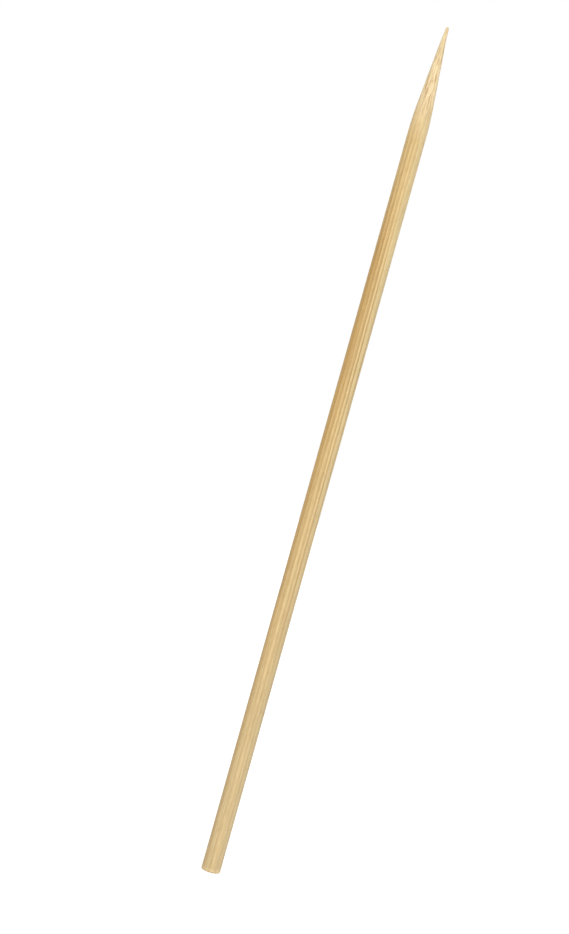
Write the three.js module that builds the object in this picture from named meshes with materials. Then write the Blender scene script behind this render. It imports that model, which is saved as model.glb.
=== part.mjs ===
// Bamboo skewer: one straight round stick, sawn square at the butt and ground to a long point.
// Millimetres, +Z up. The origin is the centre of the butt face, and the point is at the top.

import * as THREE from "three";

// Driving dimensions
const overallLength = 200; // butt face to the very tip
const shaftDiameter = 4.4;
const buttEdgeRadius = 0.3; // rim of the sawn end, rubbed round
const pointLength = 22; // from the tip to where its straight flank would meet the shaft
const shoulderRadius = 100; // eases that flank into the shaft
const tipRadius = 0.35; // the tip is blunt, not a needle

// How finely the round stretches are cut
const sidesAround = 48;
const stepsPerQuarter = 3;

const quarterTurn = Math.PI / 2;

const bamboo = new THREE.MeshStandardMaterial({
  name: "bamboo",
  color: 0xdcc494,
  roughness: 0.72,
  metalness: 0,
});

// Half of the lengthwise section: x is the distance from the axis, y the height above the butt.
function halfSection() {
  const shaftRadius = shaftDiameter / 2;
  const tipCentre = overallLength - tipRadius;
  const pointBase = overallLength - pointLength;

  // The flank runs through the corner at the point's base and touches the round tip.
  const rise = tipCentre - pointBase;
  const lean = Math.atan2(shaftRadius, rise) - Math.asin(tipRadius / Math.hypot(shaftRadius, rise));
  const shoulderStart = pointBase - shoulderRadius * Math.tan(lean / 2);

  const section = new THREE.Path();
  section.lineTo(shaftRadius - buttEdgeRadius, 0);
  section.absarc(shaftRadius - buttEdgeRadius, buttEdgeRadius, buttEdgeRadius, -quarterTurn, 0);
  section.absarc(shaftRadius - shoulderRadius, shoulderStart, shoulderRadius, 0, lean);
  section.absarc(0, tipCentre, tipRadius, lean, quarterTurn);
  return section.getPoints(stepsPerQuarter);
}

// One solid of revolution, turned upright from the lathe's own axis
function makeSkewer() {
  const skewer = new THREE.Mesh(new THREE.LatheGeometry(halfSection(), sidesAround), bamboo);
  skewer.name = "skewer";
  skewer.rotation.x = quarterTurn;
  return skewer;
}

const part = new THREE.Group();
part.add(makeSkewer());

export default part;
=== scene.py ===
# Looks of the bamboo skewer: the turned stick with its fibres, the bamboo finish, the light and the camera.

import math
import random

import bmesh
import bpy
from mathutils import Matrix, Vector, noise
from mathutils.kdtree import KDTree


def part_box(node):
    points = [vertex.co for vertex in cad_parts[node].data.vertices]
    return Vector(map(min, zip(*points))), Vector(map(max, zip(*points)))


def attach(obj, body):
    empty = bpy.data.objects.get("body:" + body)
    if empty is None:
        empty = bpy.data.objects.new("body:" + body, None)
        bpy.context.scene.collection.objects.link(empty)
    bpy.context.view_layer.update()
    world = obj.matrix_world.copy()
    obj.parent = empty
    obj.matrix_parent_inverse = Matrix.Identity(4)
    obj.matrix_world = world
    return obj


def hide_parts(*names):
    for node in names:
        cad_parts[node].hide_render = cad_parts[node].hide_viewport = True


MM = 0.001

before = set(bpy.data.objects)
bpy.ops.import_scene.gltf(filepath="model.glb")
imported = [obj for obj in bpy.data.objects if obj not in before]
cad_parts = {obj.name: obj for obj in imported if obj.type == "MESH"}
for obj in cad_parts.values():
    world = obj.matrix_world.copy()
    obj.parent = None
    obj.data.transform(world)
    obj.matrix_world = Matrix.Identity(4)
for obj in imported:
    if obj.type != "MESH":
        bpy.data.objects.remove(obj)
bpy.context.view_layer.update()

# The stick, whose length and thickness come from the solid that it stands for
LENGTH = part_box("skewer")[1].z
SHAFT_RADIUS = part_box("skewer")[1].x
BUTT_EDGE_RADIUS = 0.3 * MM
POINT_LENGTH = 22 * MM
SHOULDER_RADIUS = 100 * MM
TIP_RADIUS = 0.35 * MM
POINT_BASE = LENGTH - POINT_LENGTH

# The heights between which the turned shaft becomes the ground point
GROUND_FROM = POINT_BASE - POINT_LENGTH / 4
GROUND_BY = POINT_BASE + POINT_LENGTH / 4

# How finely its skin is cut, and the distance under which two points are one
SIDES = 256
ARC_STEPS = 6
BUTT_RING = 0.07 * MM
SHAFT_RING = 1.2 * MM
POINT_RING = 0.28 * MM
WELD = 0.0004 * MM

# The bundles of fibre, in rows that spread out away from the culm's skin at -X
BUNDLE_SEED = 7
FIRST_ROW = -2.04 * MM
SKIN_PITCH = 0.8 * MM
INNER_PITCH = 0.9 * MM
PITCH_ALONG_ROW = 0.86
BUNDLE_JITTER = 0.08
BUNDLE_TURN = math.radians(25)
BUNDLE_SIZES = (0.8, 1.15)
SHEATH_CORE = 0.12 * MM
SHEATH_REACH = 0.32 * MM
VESSEL_RADIUS = 0.055 * MM
VESSEL_SLOPE = 0.5  # share of that radius over which the relief sinks in
VESSEL_BLUR = 0.3  # and over which the colour changes
VESSEL_PLACES = (Vector((0, -0.12 * MM)), Vector((0, 0.12 * MM)), Vector((0.13 * MM, 0)))
BUNDLE_STRENGTH = 0.75
STRENGTH_SWING = 0.5
FADE_LENGTH = 45 * MM
GRAIN_LEAN = -0.0035
GRAIN_SWAY = 0.05 * MM
SWAY_LENGTH = 90 * MM

# Marks left on the turned form: height from crest to trough, width across the stick and length along it
HOLLOWS = (0.06 * MM, 2.4 * MM, 70 * MM)
FIBRES = (0.016 * MM, 0.16 * MM, 14 * MM)
GRINDING = (0.08 * MM, 1.1 * MM, 9 * MM)
TEARS = (0.06 * MM, 0.28 * MM, 5 * MM)
CHIPS = (0.12 * MM, 0.7 * MM, 0.7 * MM)
SAW_DEPTH = 0.03 * MM
SAW_WIDTH = 0.14 * MM
SAW_LENGTH = 1.6 * MM
VESSEL_DEPTH = 0.02 * MM
PORE_DEPTH = 0.08 * MM
TIP_SKEW = 0.12 * MM
TIP_SKEW_FROM = LENGTH - POINT_LENGTH / 6

# Where those marks die away
CHIPS_BELOW = 3 * BUTT_EDGE_RADIUS
CHIPS_OUTSIDE = 0.8 * SHAFT_RADIUS
MARKS_FULL_OUTSIDE = SHAFT_RADIUS / 2

# The grain of its finish, as streaks: width across the stick, length along it, and detail
THREADS = (0.07 * MM, 16 * MM, 2)
FINE_GRAIN = (0.14 * MM, 9 * MM, 3)
STREAKS = (0.5 * MM, 45 * MM, 2)
CLOUDS = (2.2 * MM, 30 * MM, 2)
DASHES = (0.1 * MM, 2.2 * MM, 2)
FLECKS = (0.3 * MM, 16 * MM, 2)
SCRATCHES = (1.4 * MM, 0.08 * MM, 2)
GRAIN_ROUGHNESS = 0.6

# The levels of that grain between which its dark marks come in, and how dark they become
THREADS_SHOW = (0.56, 0.66)
DASHES_SHOW = (0.55, 0.65)
FLECKS_SHOW = (0.48, 0.64)
THREAD_SHARE = 0.36
DASH_SHARE = 0.42
DASH_LEFT_ON_POINT = 0.5
FLECK_SHARE = 0.75

# The levels between which most of the grain lies, and how far it lightens or darkens the wood
MOST_GRAIN = (0.25, 0.75)
FINE_TINT = 0.1
STREAK_TINT = 0.06
CLOUD_TINT = 0.05

# The tan of the culm's skin: how far across it reaches, its ragged edge, and where it pales
SKIN_EDGE_AT_BUTT = -1.9 * MM
SKIN_EDGE_AT_TIP = 0.4 * MM
SKIN_RAGGED = 0.4 * MM
SKIN_BLUR = 0.8 * MM
SKIN_PALING = (145 * MM, 166 * MM)
SKIN_PALED = 0.65
LINES_PALED = 0.35
CREAM_SIDE = (0.3 * MM, 1.3 * MM)

# The butt half, painted darker and duller as painted shade, with faint lines; wood and lines become bright
# and clear further up
SHADED_TO_LIT = (15 * MM, 112 * MM)
PAINTED_SHADE_SHARE = 0.45
LINES_CLEAR = (0.4, 1.15)
SHEATH_SHARE = 0.6
VESSEL_SHARE = 0.5

# The sawn end, the rubbed edge above it and the ground point
SAWN_FACE = (BUTT_EDGE_RADIUS / 2, BUTT_EDGE_RADIUS)
SAWN_SHARE = 0.9
RUBBED_EDGE = (BUTT_EDGE_RADIUS, 4 * BUTT_EDGE_RADIUS)
RUBBED_SHARE = 0.5
GROUND_SHARE = 0.9

# Its gloss, and its finest relief
GLOSSY_TO_MATT = (0.56, 0.7)
SPECULAR = 0.35
MIDDLE_GRAIN = (0.3, 0.7)
THREAD_GROOVE = 0.5
BUMP_STRENGTH = 0.8
BUMP_HEIGHT = 0.025 * MM

# Its map for the finish
MAP_STRIPS = 4
MAP_BUTT = 0.1
MAP_MARGIN = 0.02
FACES_DOWN = 0.9

# The photograph's frame, and the pixels of the stick's two ends in it
FRAME_WIDTH = 569
FRAME_HEIGHT = 934
BUTT_PIXEL = Vector((210.5, 870.5))
TIP_PIXEL = Vector((447.3, 27.1))
FOCAL_PIXELS = 1700
SENSOR = 36
NEAREST_SEEN = 0.01
FURTHEST_SEEN = 20

# Light
AMBIENT = 0.5
KEY_STRENGTH = 1.9
KEY_FROM = Vector((0.08, -0.88, 0.45))
FILL_STRENGTH = 0.9
FILL_FROM = Vector((0, 0.93, 0.35))
LIGHT_SPREAD = math.radians(60)
FLOOR_SIDE = 6
FLOOR_WHITE = 0.85
FLOOR_LIFT = 0.42
FLOOR_MATT = 0.9


def smooth_step(low, high, value):
    """Eases from 0 at low to 1 at high. Low may be the greater of the two."""
    share = min(max((value - low) / (high - low), 0), 1)
    return share * share * (3 - 2 * share)


def arc(centre, radius, start, end):
    """Points of a circular arc in the lengthwise section, from start to end in radians."""
    angles = [start + (end - start) * step / ARC_STEPS for step in range(ARC_STEPS + 1)]
    return [(centre[0] + radius * math.cos(a), centre[1] + radius * math.sin(a)) for a in angles]


def half_section():
    """Corners of half the lengthwise section, as distance from the axis and height above the butt."""
    rise = POINT_LENGTH - TIP_RADIUS
    lean = math.atan2(SHAFT_RADIUS, rise) - math.asin(TIP_RADIUS / math.hypot(SHAFT_RADIUS, rise))
    shoulder_start = POINT_BASE - SHOULDER_RADIUS * math.tan(lean / 2)
    return [
        (0, 0),
        *arc((SHAFT_RADIUS - BUTT_EDGE_RADIUS, BUTT_EDGE_RADIUS), BUTT_EDGE_RADIUS, -math.pi / 2, 0),
        *arc((SHAFT_RADIUS - SHOULDER_RADIUS, shoulder_start), SHOULDER_RADIUS, 0, lean),
        *arc((0, LENGTH - TIP_RADIUS), TIP_RADIUS, lean, math.pi / 2),
    ]


def ring_spacing(edge):
    height = (edge.verts[0].co.z + edge.verts[1].co.z) / 2
    if height < WELD:
        return BUTT_RING
    return SHAFT_RING if height < GROUND_FROM else POINT_RING


def turned_blank():
    """Spins the section about the axis into one closed skin, cut fine enough to carry the fibres."""
    blank = bmesh.new()
    corners = [blank.verts.new((x, 0, z)) for x, z in half_section()]
    for edge in [blank.edges.new(pair) for pair in zip(corners, corners[1:])]:
        cuts = round(edge.calc_length() / ring_spacing(edge)) - 1
        if cuts > 0:
            bmesh.ops.subdivide_edges(blank, edges=[edge], cuts=cuts)
    bmesh.ops.spin(
        blank,
        geom=blank.verts[:] + blank.edges[:],
        axis=(0, 0, 1),
        cent=(0, 0, 0),
        steps=SIDES,
        angle=2 * math.pi,
        use_merge=True,
    )
    bmesh.ops.remove_doubles(blank, verts=blank.verts, dist=WELD)
    bmesh.ops.recalc_face_normals(blank, faces=blank.faces)
    return blank


def lay_bundles():
    """Each fibre bundle's centre in the stick's section, and the matrix that brings a place into its frame.

    The bundles lie in rows, and half way up the stick each row starts at the front face.
    """
    draw = random.Random(BUNDLE_SEED)
    drift = GRAIN_LEAN * LENGTH
    bundles = []
    x = FIRST_ROW
    while x < SHAFT_RADIUS - drift:
        pitch = SKIN_PITCH + (INNER_PITCH - SKIN_PITCH) * (x / SHAFT_RADIUS + 1) / 2
        y = -math.sqrt(max(SHAFT_RADIUS**2 - (x + drift / 2) ** 2, 0))
        while y < SHAFT_RADIUS:
            shift_x = draw.uniform(-BUNDLE_JITTER, BUNDLE_JITTER) * pitch
            shift_y = draw.uniform(0, 2 * BUNDLE_JITTER) * pitch
            turn = Matrix.Rotation(draw.uniform(-BUNDLE_TURN, BUNDLE_TURN), 2)
            size = draw.uniform(*BUNDLE_SIZES)
            bundles.append((Vector((x + shift_x, y + shift_y)), turn * (1 / size)))
            y += pitch * PITCH_ALONG_ROW
        x += pitch
    return bundles


def find_bundles(bundles):
    finder = KDTree(len(bundles))
    for index, (centre, _) in enumerate(bundles):
        finder.insert(centre.to_3d(), index)
    finder.balance()
    return finder


def across_grain(co):
    """Where a point lies in the section of the bundles, which lean and sway a little along the stick."""
    sway = GRAIN_SWAY * math.sin(2 * math.pi * co.z / SWAY_LENGTH)
    return Vector((co.x - GRAIN_LEAN * co.z - sway, co.y))


def place_in(bundle, co):
    centre, into_frame = bundle
    return into_frame @ (across_grain(co) - centre)


def in_vessel(place):
    """From 0 in the wood to 1 in an open vessel, by the place in the bundle."""
    nearest = min((place - vessel).length for vessel in VESSEL_PLACES)
    return smooth_step(VESSEL_RADIUS * (1 + VESSEL_SLOPE), VESSEL_RADIUS * (1 - VESSEL_SLOPE), nearest)


def mark(co, kind):
    """How far one kind of mark raises or sinks the skin, as noise drawn out along the stick."""
    height, width, length = kind
    return height / 2 * noise.noise(Vector((co.x / width, co.y / width, co.z / length)))


def worn(co, vessel):
    """A point of the plain turned form, moved to where the fibres and the tools leave it."""
    radius = co.xy.length
    outward = Vector((co.x, co.y, 0)) / max(radius, WELD)
    ground = smooth_step(GROUND_FROM, GROUND_BY, co.z)
    rim = smooth_step(CHIPS_BELOW, 0, co.z) * smooth_step(CHIPS_OUTSIDE, SHAFT_RADIUS, radius)

    rise = mark(co, HOLLOWS) + mark(co, FIBRES) - VESSEL_DEPTH * vessel
    rise += ground * (mark(co, GRINDING) + mark(co, TEARS))
    rise += rim * min(mark(co, CHIPS), 0)
    moved = co + outward * rise * min(radius / MARKS_FULL_OUTSIDE, 1)

    sawn = smooth_step(BUTT_EDGE_RADIUS, 0, co.z)
    saw_line = 0.5 + noise.noise(Vector((co.x / SAW_WIDTH, co.y / SAW_LENGTH, 0))) / 2
    moved.z += sawn * (SAW_DEPTH * saw_line + PORE_DEPTH * vessel)
    moved.x += TIP_SKEW * smooth_step(TIP_SKEW_FROM, LENGTH, co.z)
    return moved


def lay_out_map(blank):
    """Maps the skin for its finish: the side in strips, and the butt face in a corner below them."""
    strip_length = LENGTH / MAP_STRIPS
    layer = blank.loops.layers.uv.new("OFBake")
    for face in blank.faces:
        middle = face.calc_center_median()
        on_butt = abs(face.normal.z) > FACES_DOWN and middle.z < BUTT_EDGE_RADIUS
        strip = min(int(middle.z / strip_length), MAP_STRIPS - 1)
        facing = math.atan2(middle.y, middle.x)
        for loop in face.loops:
            co = loop.vert.co
            if on_butt:
                share = co.xy / (2 * SHAFT_RADIUS) + Vector((0.5, 0.5))
                loop[layer].uv = inset(share) * MAP_BUTT
                continue
            on_axis = co.xy.length < WELD
            past = 0 if on_axis else math.atan2(co.y, co.x) - facing
            turn = facing + (past + math.pi) % (2 * math.pi) - math.pi
            across, up = inset(Vector((turn / (2 * math.pi) + 0.5, co.z / strip_length - strip)))
            loop[layer].uv = (strip + across) / MAP_STRIPS, MAP_BUTT + up * (1 - MAP_BUTT)


def inset(share):
    """Keeps a place on one patch of the map clear of the patch's edges."""
    return share * (1 - 2 * MAP_MARGIN) + Vector((MAP_MARGIN, MAP_MARGIN))


def wear_in(blank):
    """Gives the blank its marks, and keeps each face corner's place in its fibre bundle for the finish."""
    bundles = lay_bundles()
    finder = find_bundles(bundles)
    layer = blank.loops.layers.float_vector.new("in_bundle")
    for face in blank.faces:
        _, index, _ = finder.find(across_grain(face.calc_center_median()).to_3d())
        for loop in face.loops:
            co = loop.vert.co
            swing = STRENGTH_SWING * noise.noise(Vector((index, 0, co.z / FADE_LENGTH)))
            loop[layer] = (*place_in(bundles[index], co), (BUNDLE_STRENGTH + swing) * MM)
    for vert in blank.verts:
        _, index, _ = finder.find(across_grain(vert.co).to_3d())
        vert.co = worn(vert.co.copy(), in_vessel(place_in(bundles[index], vert.co)))


def make_stick():
    """The detailed bamboo stick."""
    blank = turned_blank()
    lay_out_map(blank)
    wear_in(blank)
    for face in blank.faces:
        face.smooth = True
    mesh = bpy.data.meshes.new("bamboo_stick")
    blank.to_mesh(mesh)
    blank.free()
    stick = bpy.data.objects.new("bamboo_stick", mesh)
    bpy.context.scene.collection.objects.link(stick)
    return stick


def srgb(red, green, blue):
    """A colour as it shows on screen, 0 to 255, in the linear values that a material takes."""
    parts = [value / 255 for value in (red, green, blue)]
    return (*[p / 12.92 if p <= 0.04045 else ((p + 0.055) / 1.055) ** 2.4 for p in parts], 1)


CREAM = srgb(220, 197, 146)
STRAW = srgb(226, 199, 142)
TAN = srgb(206, 169, 106)
SHEATH_BROWN = srgb(182, 144, 86)
VESSEL_BROWN = srgb(150, 112, 66)
END_BROWN = srgb(136, 98, 56)
PORE_BROWN = srgb(70, 46, 26)
PALE = srgb(243, 221, 176)
TORN_BROWN = srgb(184, 147, 95)
# Painted shade for the butt half: a darker, duller beige
PAINTED_SHADE_BEIGE = srgb(198, 177, 140)
LINE_BROWN = srgb(160, 118, 68)


def add_node(tree, kind, settings=None, **inputs):
    """A shader node. An input is a value, or the socket that feeds it."""
    node = tree.nodes.new(kind)
    for name, value in (settings or {}).items():
        setattr(node, name, value)
    for name, value in inputs.items():
        socket = node.inputs[name.replace("_", " ")]
        if isinstance(value, bpy.types.NodeSocket):
            tree.links.new(value, socket)
        else:
            socket.default_value = value
    return node


def grain(tree, place, kind):
    """Noise from 0 to 1, in streaks along the stick."""
    width, length, detail = kind
    scaled = add_node(tree, "ShaderNodeMapping", Vector=place, Scale=(1 / width, 1 / width, 1 / length))
    return add_node(
        tree,
        "ShaderNodeTexNoise",
        Vector=scaled.outputs["Vector"],
        Scale=1,
        Detail=detail,
        Roughness=GRAIN_ROUGHNESS,
    ).outputs["Fac"]


def remap(tree, value, span, new_span=(0, 1)):
    """Brings a value from one span to another, held at its ends."""
    found = add_node(tree, "ShaderNodeMapRange", Value=value)
    for name, level in zip(("From Min", "From Max", "To Min", "To Max"), (*span, *new_span)):
        found.inputs[name].default_value = level
    return found.outputs["Result"]


def blend_colours(tree, share, first, second, way="MIX"):
    mixed = tree.nodes.new("ShaderNodeMix")
    mixed.data_type = "RGBA"
    mixed.blend_type = way
    for name, value in (("Factor_Float", share), ("A_Color", first), ("B_Color", second)):
        socket = next(s for s in mixed.inputs if s.identifier == name)
        if isinstance(value, bpy.types.NodeSocket):
            tree.links.new(value, socket)
        else:
            socket.default_value = value
    return next(s for s in mixed.outputs if s.identifier == "Result_Color")


def maths(tree, operation, first, second):
    done = tree.nodes.new("ShaderNodeMath")
    done.operation = operation
    for socket, value in zip(done.inputs, (first, second)):
        if isinstance(value, bpy.types.NodeSocket):
            tree.links.new(value, socket)
        else:
            socket.default_value = value
    return done.outputs[0]


def distance_between(tree, first, second):
    found = tree.nodes.new("ShaderNodeVectorMath")
    found.operation = "DISTANCE"
    tree.links.new(first, found.inputs[0])
    found.inputs[1].default_value = second
    return found.outputs["Value"]


def product(tree, first, second):
    return maths(tree, "MULTIPLY", first, second)


def fibre_bundles(tree):
    """How much of the hard sheath and of the open vessels shows, each from 0 to 1."""
    kept = add_node(tree, "ShaderNodeAttribute", {"attribute_name": "in_bundle"}).outputs["Vector"]
    apart = add_node(tree, "ShaderNodeSeparateXYZ", Vector=kept).outputs
    place = add_node(tree, "ShaderNodeCombineXYZ", X=apart["X"], Y=apart["Y"]).outputs["Vector"]
    strength = maths(tree, "DIVIDE", apart["Z"], MM)

    sheath = remap(tree, distance_between(tree, place, (0, 0, 0)), (SHEATH_CORE, SHEATH_REACH), (1, 0))
    rim = (VESSEL_RADIUS * (1 - VESSEL_BLUR), VESSEL_RADIUS * (1 + VESSEL_BLUR))
    vessel = 0.0
    for centre in VESSEL_PLACES:
        opening = remap(tree, distance_between(tree, place, centre.to_3d()), rim, (1, 0))
        vessel = maths(tree, "MAXIMUM", opening, vessel)
    return product(tree, sheath, strength), product(tree, vessel, strength)


def plain_wood(tree, across, up, streaks, paled, off_face):
    """Straw and cream, with the skin's tan at -X, which reaches further in towards the point, and painted
    shade over the butt half.
    """
    colour = blend_colours(tree, remap(tree, across, CREAM_SIDE), STRAW, CREAM)
    skin_edge = remap(tree, up, (0, LENGTH), (SKIN_EDGE_AT_BUTT, SKIN_EDGE_AT_TIP))
    inwards = maths(tree, "SUBTRACT", across, skin_edge)
    ragged = maths(tree, "ADD", inwards, remap(tree, streaks, MIDDLE_GRAIN, (-SKIN_RAGGED, SKIN_RAGGED)))
    deep = maths(tree, "SUBTRACT", 1.0, product(tree, paled, SKIN_PALED))
    skin = product(tree, remap(tree, ragged, (-SKIN_BLUR, SKIN_BLUR), (1, 0)), deep)
    colour = blend_colours(tree, skin, colour, TAN)
    # Painted shade: the butt half is darkened towards a dull beige, fading out further up, but not on the
    # sawn face
    painted_shade = product(tree, remap(tree, up, SHADED_TO_LIT, (PAINTED_SHADE_SHARE, 0)), off_face)
    return blend_colours(tree, painted_shade, colour, PAINTED_SHADE_BEIGE)


def with_bundles(tree, colour, up, paled, sawn):
    """Cut lengthwise the bundles show as tan lines, and on the sawn end as dark dots with pores."""
    sheath, vessel = fibre_bundles(tree)
    clear = remap(tree, up, SHADED_TO_LIT, LINES_CLEAR)
    clear = maths(tree, "SUBTRACT", clear, product(tree, paled, LINES_PALED))
    on_face = product(tree, sawn, SAWN_SHARE)
    for shown, side_share, on_side, on_end in (
        (sheath, SHEATH_SHARE, SHEATH_BROWN, END_BROWN),
        (vessel, VESSEL_SHARE, VESSEL_BROWN, PORE_BROWN),
    ):
        share = maths(tree, "MAXIMUM", product(tree, clear, side_share), on_face)
        cut = blend_colours(tree, sawn, on_side, on_end)
        colour = blend_colours(tree, product(tree, shown, share), colour, cut)
    return colour


def bamboo_finish():
    """Bare bamboo with its grain, paler where it is ground or rubbed."""
    material = bpy.data.materials.new("bamboo")
    material.use_nodes = True
    tree = material.node_tree
    surface = tree.nodes["Principled BSDF"]
    place = tree.nodes.new("ShaderNodeTexCoord").outputs["Object"]
    apart = add_node(tree, "ShaderNodeSeparateXYZ", Vector=place).outputs
    across, up = apart["X"], apart["Z"]
    fine = grain(tree, place, FINE_GRAIN)
    streaks = grain(tree, place, STREAKS)
    threads = grain(tree, place, THREADS)

    sawn = remap(tree, up, SAWN_FACE, (1, 0))
    off_face = maths(tree, "SUBTRACT", 1.0, sawn)
    ground = remap(tree, up, (GROUND_FROM, GROUND_BY))
    paled = remap(tree, up, SKIN_PALING)

    colour = plain_wood(tree, across, up, streaks, paled, off_face)
    colour = with_bundles(tree, colour, up, paled, sawn)

    # The ground point and the rubbed rim of the butt are pale, and the point has brown flecks.
    rubbed = product(tree, remap(tree, up, RUBBED_EDGE, (RUBBED_SHARE, 0)), off_face)
    pale = maths(tree, "MAXIMUM", product(tree, ground, GROUND_SHARE), rubbed)
    colour = blend_colours(tree, pale, colour, PALE)
    flecks = remap(tree, grain(tree, place, FLECKS), FLECKS_SHOW, (0, FLECK_SHARE))
    colour = blend_colours(tree, product(tree, ground, flecks), colour, TORN_BROWN)

    # The grain lightens and darkens the wood, and leaves thin dark lines and short dashes.
    clouds = grain(tree, place, CLOUDS)
    for shade, depth in ((fine, FINE_TINT), (streaks, STREAK_TINT), (clouds, CLOUD_TINT)):
        tint = remap(tree, shade, MOST_GRAIN, (1 - depth, 1 + depth))
        colour = blend_colours(tree, 1.0, colour, tint, "MULTIPLY")
    dashes = remap(tree, grain(tree, place, DASHES), DASHES_SHOW, (0, DASH_SHARE))
    dashes = product(tree, dashes, remap(tree, ground, (0, 1), (1, DASH_LEFT_ON_POINT)))
    lines = remap(tree, threads, THREADS_SHOW, (0, THREAD_SHARE))
    colour = blend_colours(tree, maths(tree, "MAXIMUM", lines, dashes), colour, LINE_BROWN)
    tree.links.new(colour, surface.inputs["Base Color"])

    tree.links.new(remap(tree, fine, MIDDLE_GRAIN, GLOSSY_TO_MATT), surface.inputs["Roughness"])
    surface.inputs["Specular IOR Level"].default_value = SPECULAR
    grooves = maths(tree, "SUBTRACT", fine, remap(tree, threads, THREADS_SHOW, (0, THREAD_GROOVE)))
    scratches = product(tree, ground, grain(tree, place, SCRATCHES))
    relief = maths(tree, "ADD", grooves, scratches)
    bump = add_node(tree, "ShaderNodeBump", Height=relief, Strength=BUMP_STRENGTH, Distance=BUMP_HEIGHT)
    tree.links.new(bump.outputs["Normal"], surface.inputs["Normal"])
    return material


def seen_directly(tree):
    """1 for rays from the camera, off shiny surfaces or through clear ones, and 0 for the rest."""
    path = tree.nodes.new("ShaderNodeLightPath").outputs
    shiny = maths(tree, "MAXIMUM", path["Is Glossy Ray"], path["Is Transmission Ray"])
    return maths(tree, "MAXIMUM", path["Is Camera Ray"], shiny)


def make_surroundings():
    """White all round, which lights the stick evenly at a lower level than it shows."""
    world = bpy.data.worlds.new("white_studio")
    world.use_nodes = True
    bpy.context.scene.world = world
    tree = world.node_tree
    background = tree.nodes["Background"]
    background.inputs["Color"].default_value = (1, 1, 1, 1)
    level = remap(tree, seen_directly(tree), (0, 1), (AMBIENT, 1))
    tree.links.new(level, background.inputs["Strength"])


def make_floor():
    """A white floor that keeps the stick's shadow."""
    sheet = bmesh.new()
    bmesh.ops.create_grid(sheet, x_segments=1, y_segments=1, size=FLOOR_SIDE / 2)
    mesh = bpy.data.meshes.new("floor")
    sheet.to_mesh(mesh)
    sheet.free()
    floor = bpy.data.objects.new("floor", mesh)
    bpy.context.scene.collection.objects.link(floor)

    material = bpy.data.materials.new("white_floor")
    material.use_nodes = True
    tree = material.node_tree
    surface = tree.nodes["Principled BSDF"]
    surface.inputs["Base Color"].default_value = (FLOOR_WHITE, FLOOR_WHITE, FLOOR_WHITE, 1)
    surface.inputs["Roughness"].default_value = FLOOR_MATT
    surface.inputs["Specular IOR Level"].default_value = 0
    surface.inputs["Emission Color"].default_value = (1, 1, 1, 1)
    lift = product(tree, seen_directly(tree), FLOOR_LIFT)
    tree.links.new(lift, surface.inputs["Emission Strength"])
    mesh.materials.append(material)


def make_light(name, strength, source):
    """A broad soft light from far off in one direction."""
    data = bpy.data.lights.new(name, "SUN")
    data.energy = strength
    data.angle = LIGHT_SPREAD
    light = bpy.data.objects.new(name, data)
    light.rotation_mode = "QUATERNION"
    light.rotation_quaternion = source.to_track_quat("Z", "Y")
    bpy.context.scene.collection.objects.link(light)


def place_camera():
    """Looks level at the stick, rolled so that its ends fall on their pixels."""
    span = TIP_PIXEL - BUTT_PIXEL
    pixels_per_metre = span.length / LENGTH
    lean = math.atan2(span.x, -span.y)
    right = Vector((math.cos(lean), 0, math.sin(lean)))
    upward = Vector((-math.sin(lean), 0, math.cos(lean)))
    back = Vector((0, -1, 0))

    middle = (BUTT_PIXEL + TIP_PIXEL) / 2
    off_right = (middle.x - FRAME_WIDTH / 2) / pixels_per_metre
    off_up = (FRAME_HEIGHT / 2 - middle.y) / pixels_per_metre
    aim = Vector((0, 0, LENGTH / 2)) - right * off_right - upward * off_up

    data = bpy.data.cameras.new("camera")
    data.sensor_width = SENSOR
    data.lens = FOCAL_PIXELS / FRAME_HEIGHT * SENSOR
    data.clip_start = NEAREST_SEEN
    data.clip_end = FURTHEST_SEEN
    camera = bpy.data.objects.new("camera", data)
    turn = Matrix((right, upward, back)).transposed().to_4x4()
    camera.matrix_world = Matrix.Translation(aim + back * FOCAL_PIXELS / pixels_per_metre) @ turn
    bpy.context.scene.collection.objects.link(camera)
    bpy.context.scene.camera = camera


bpy.context.scene.view_settings.view_transform = "Standard"
make_surroundings()
make_floor()
make_light("key", KEY_STRENGTH, KEY_FROM)
make_light("fill", FILL_STRENGTH, FILL_FROM)
place_camera()

stick = make_stick()
stick.data.materials.append(bamboo_finish())
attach(stick, "root")
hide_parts("skewer")
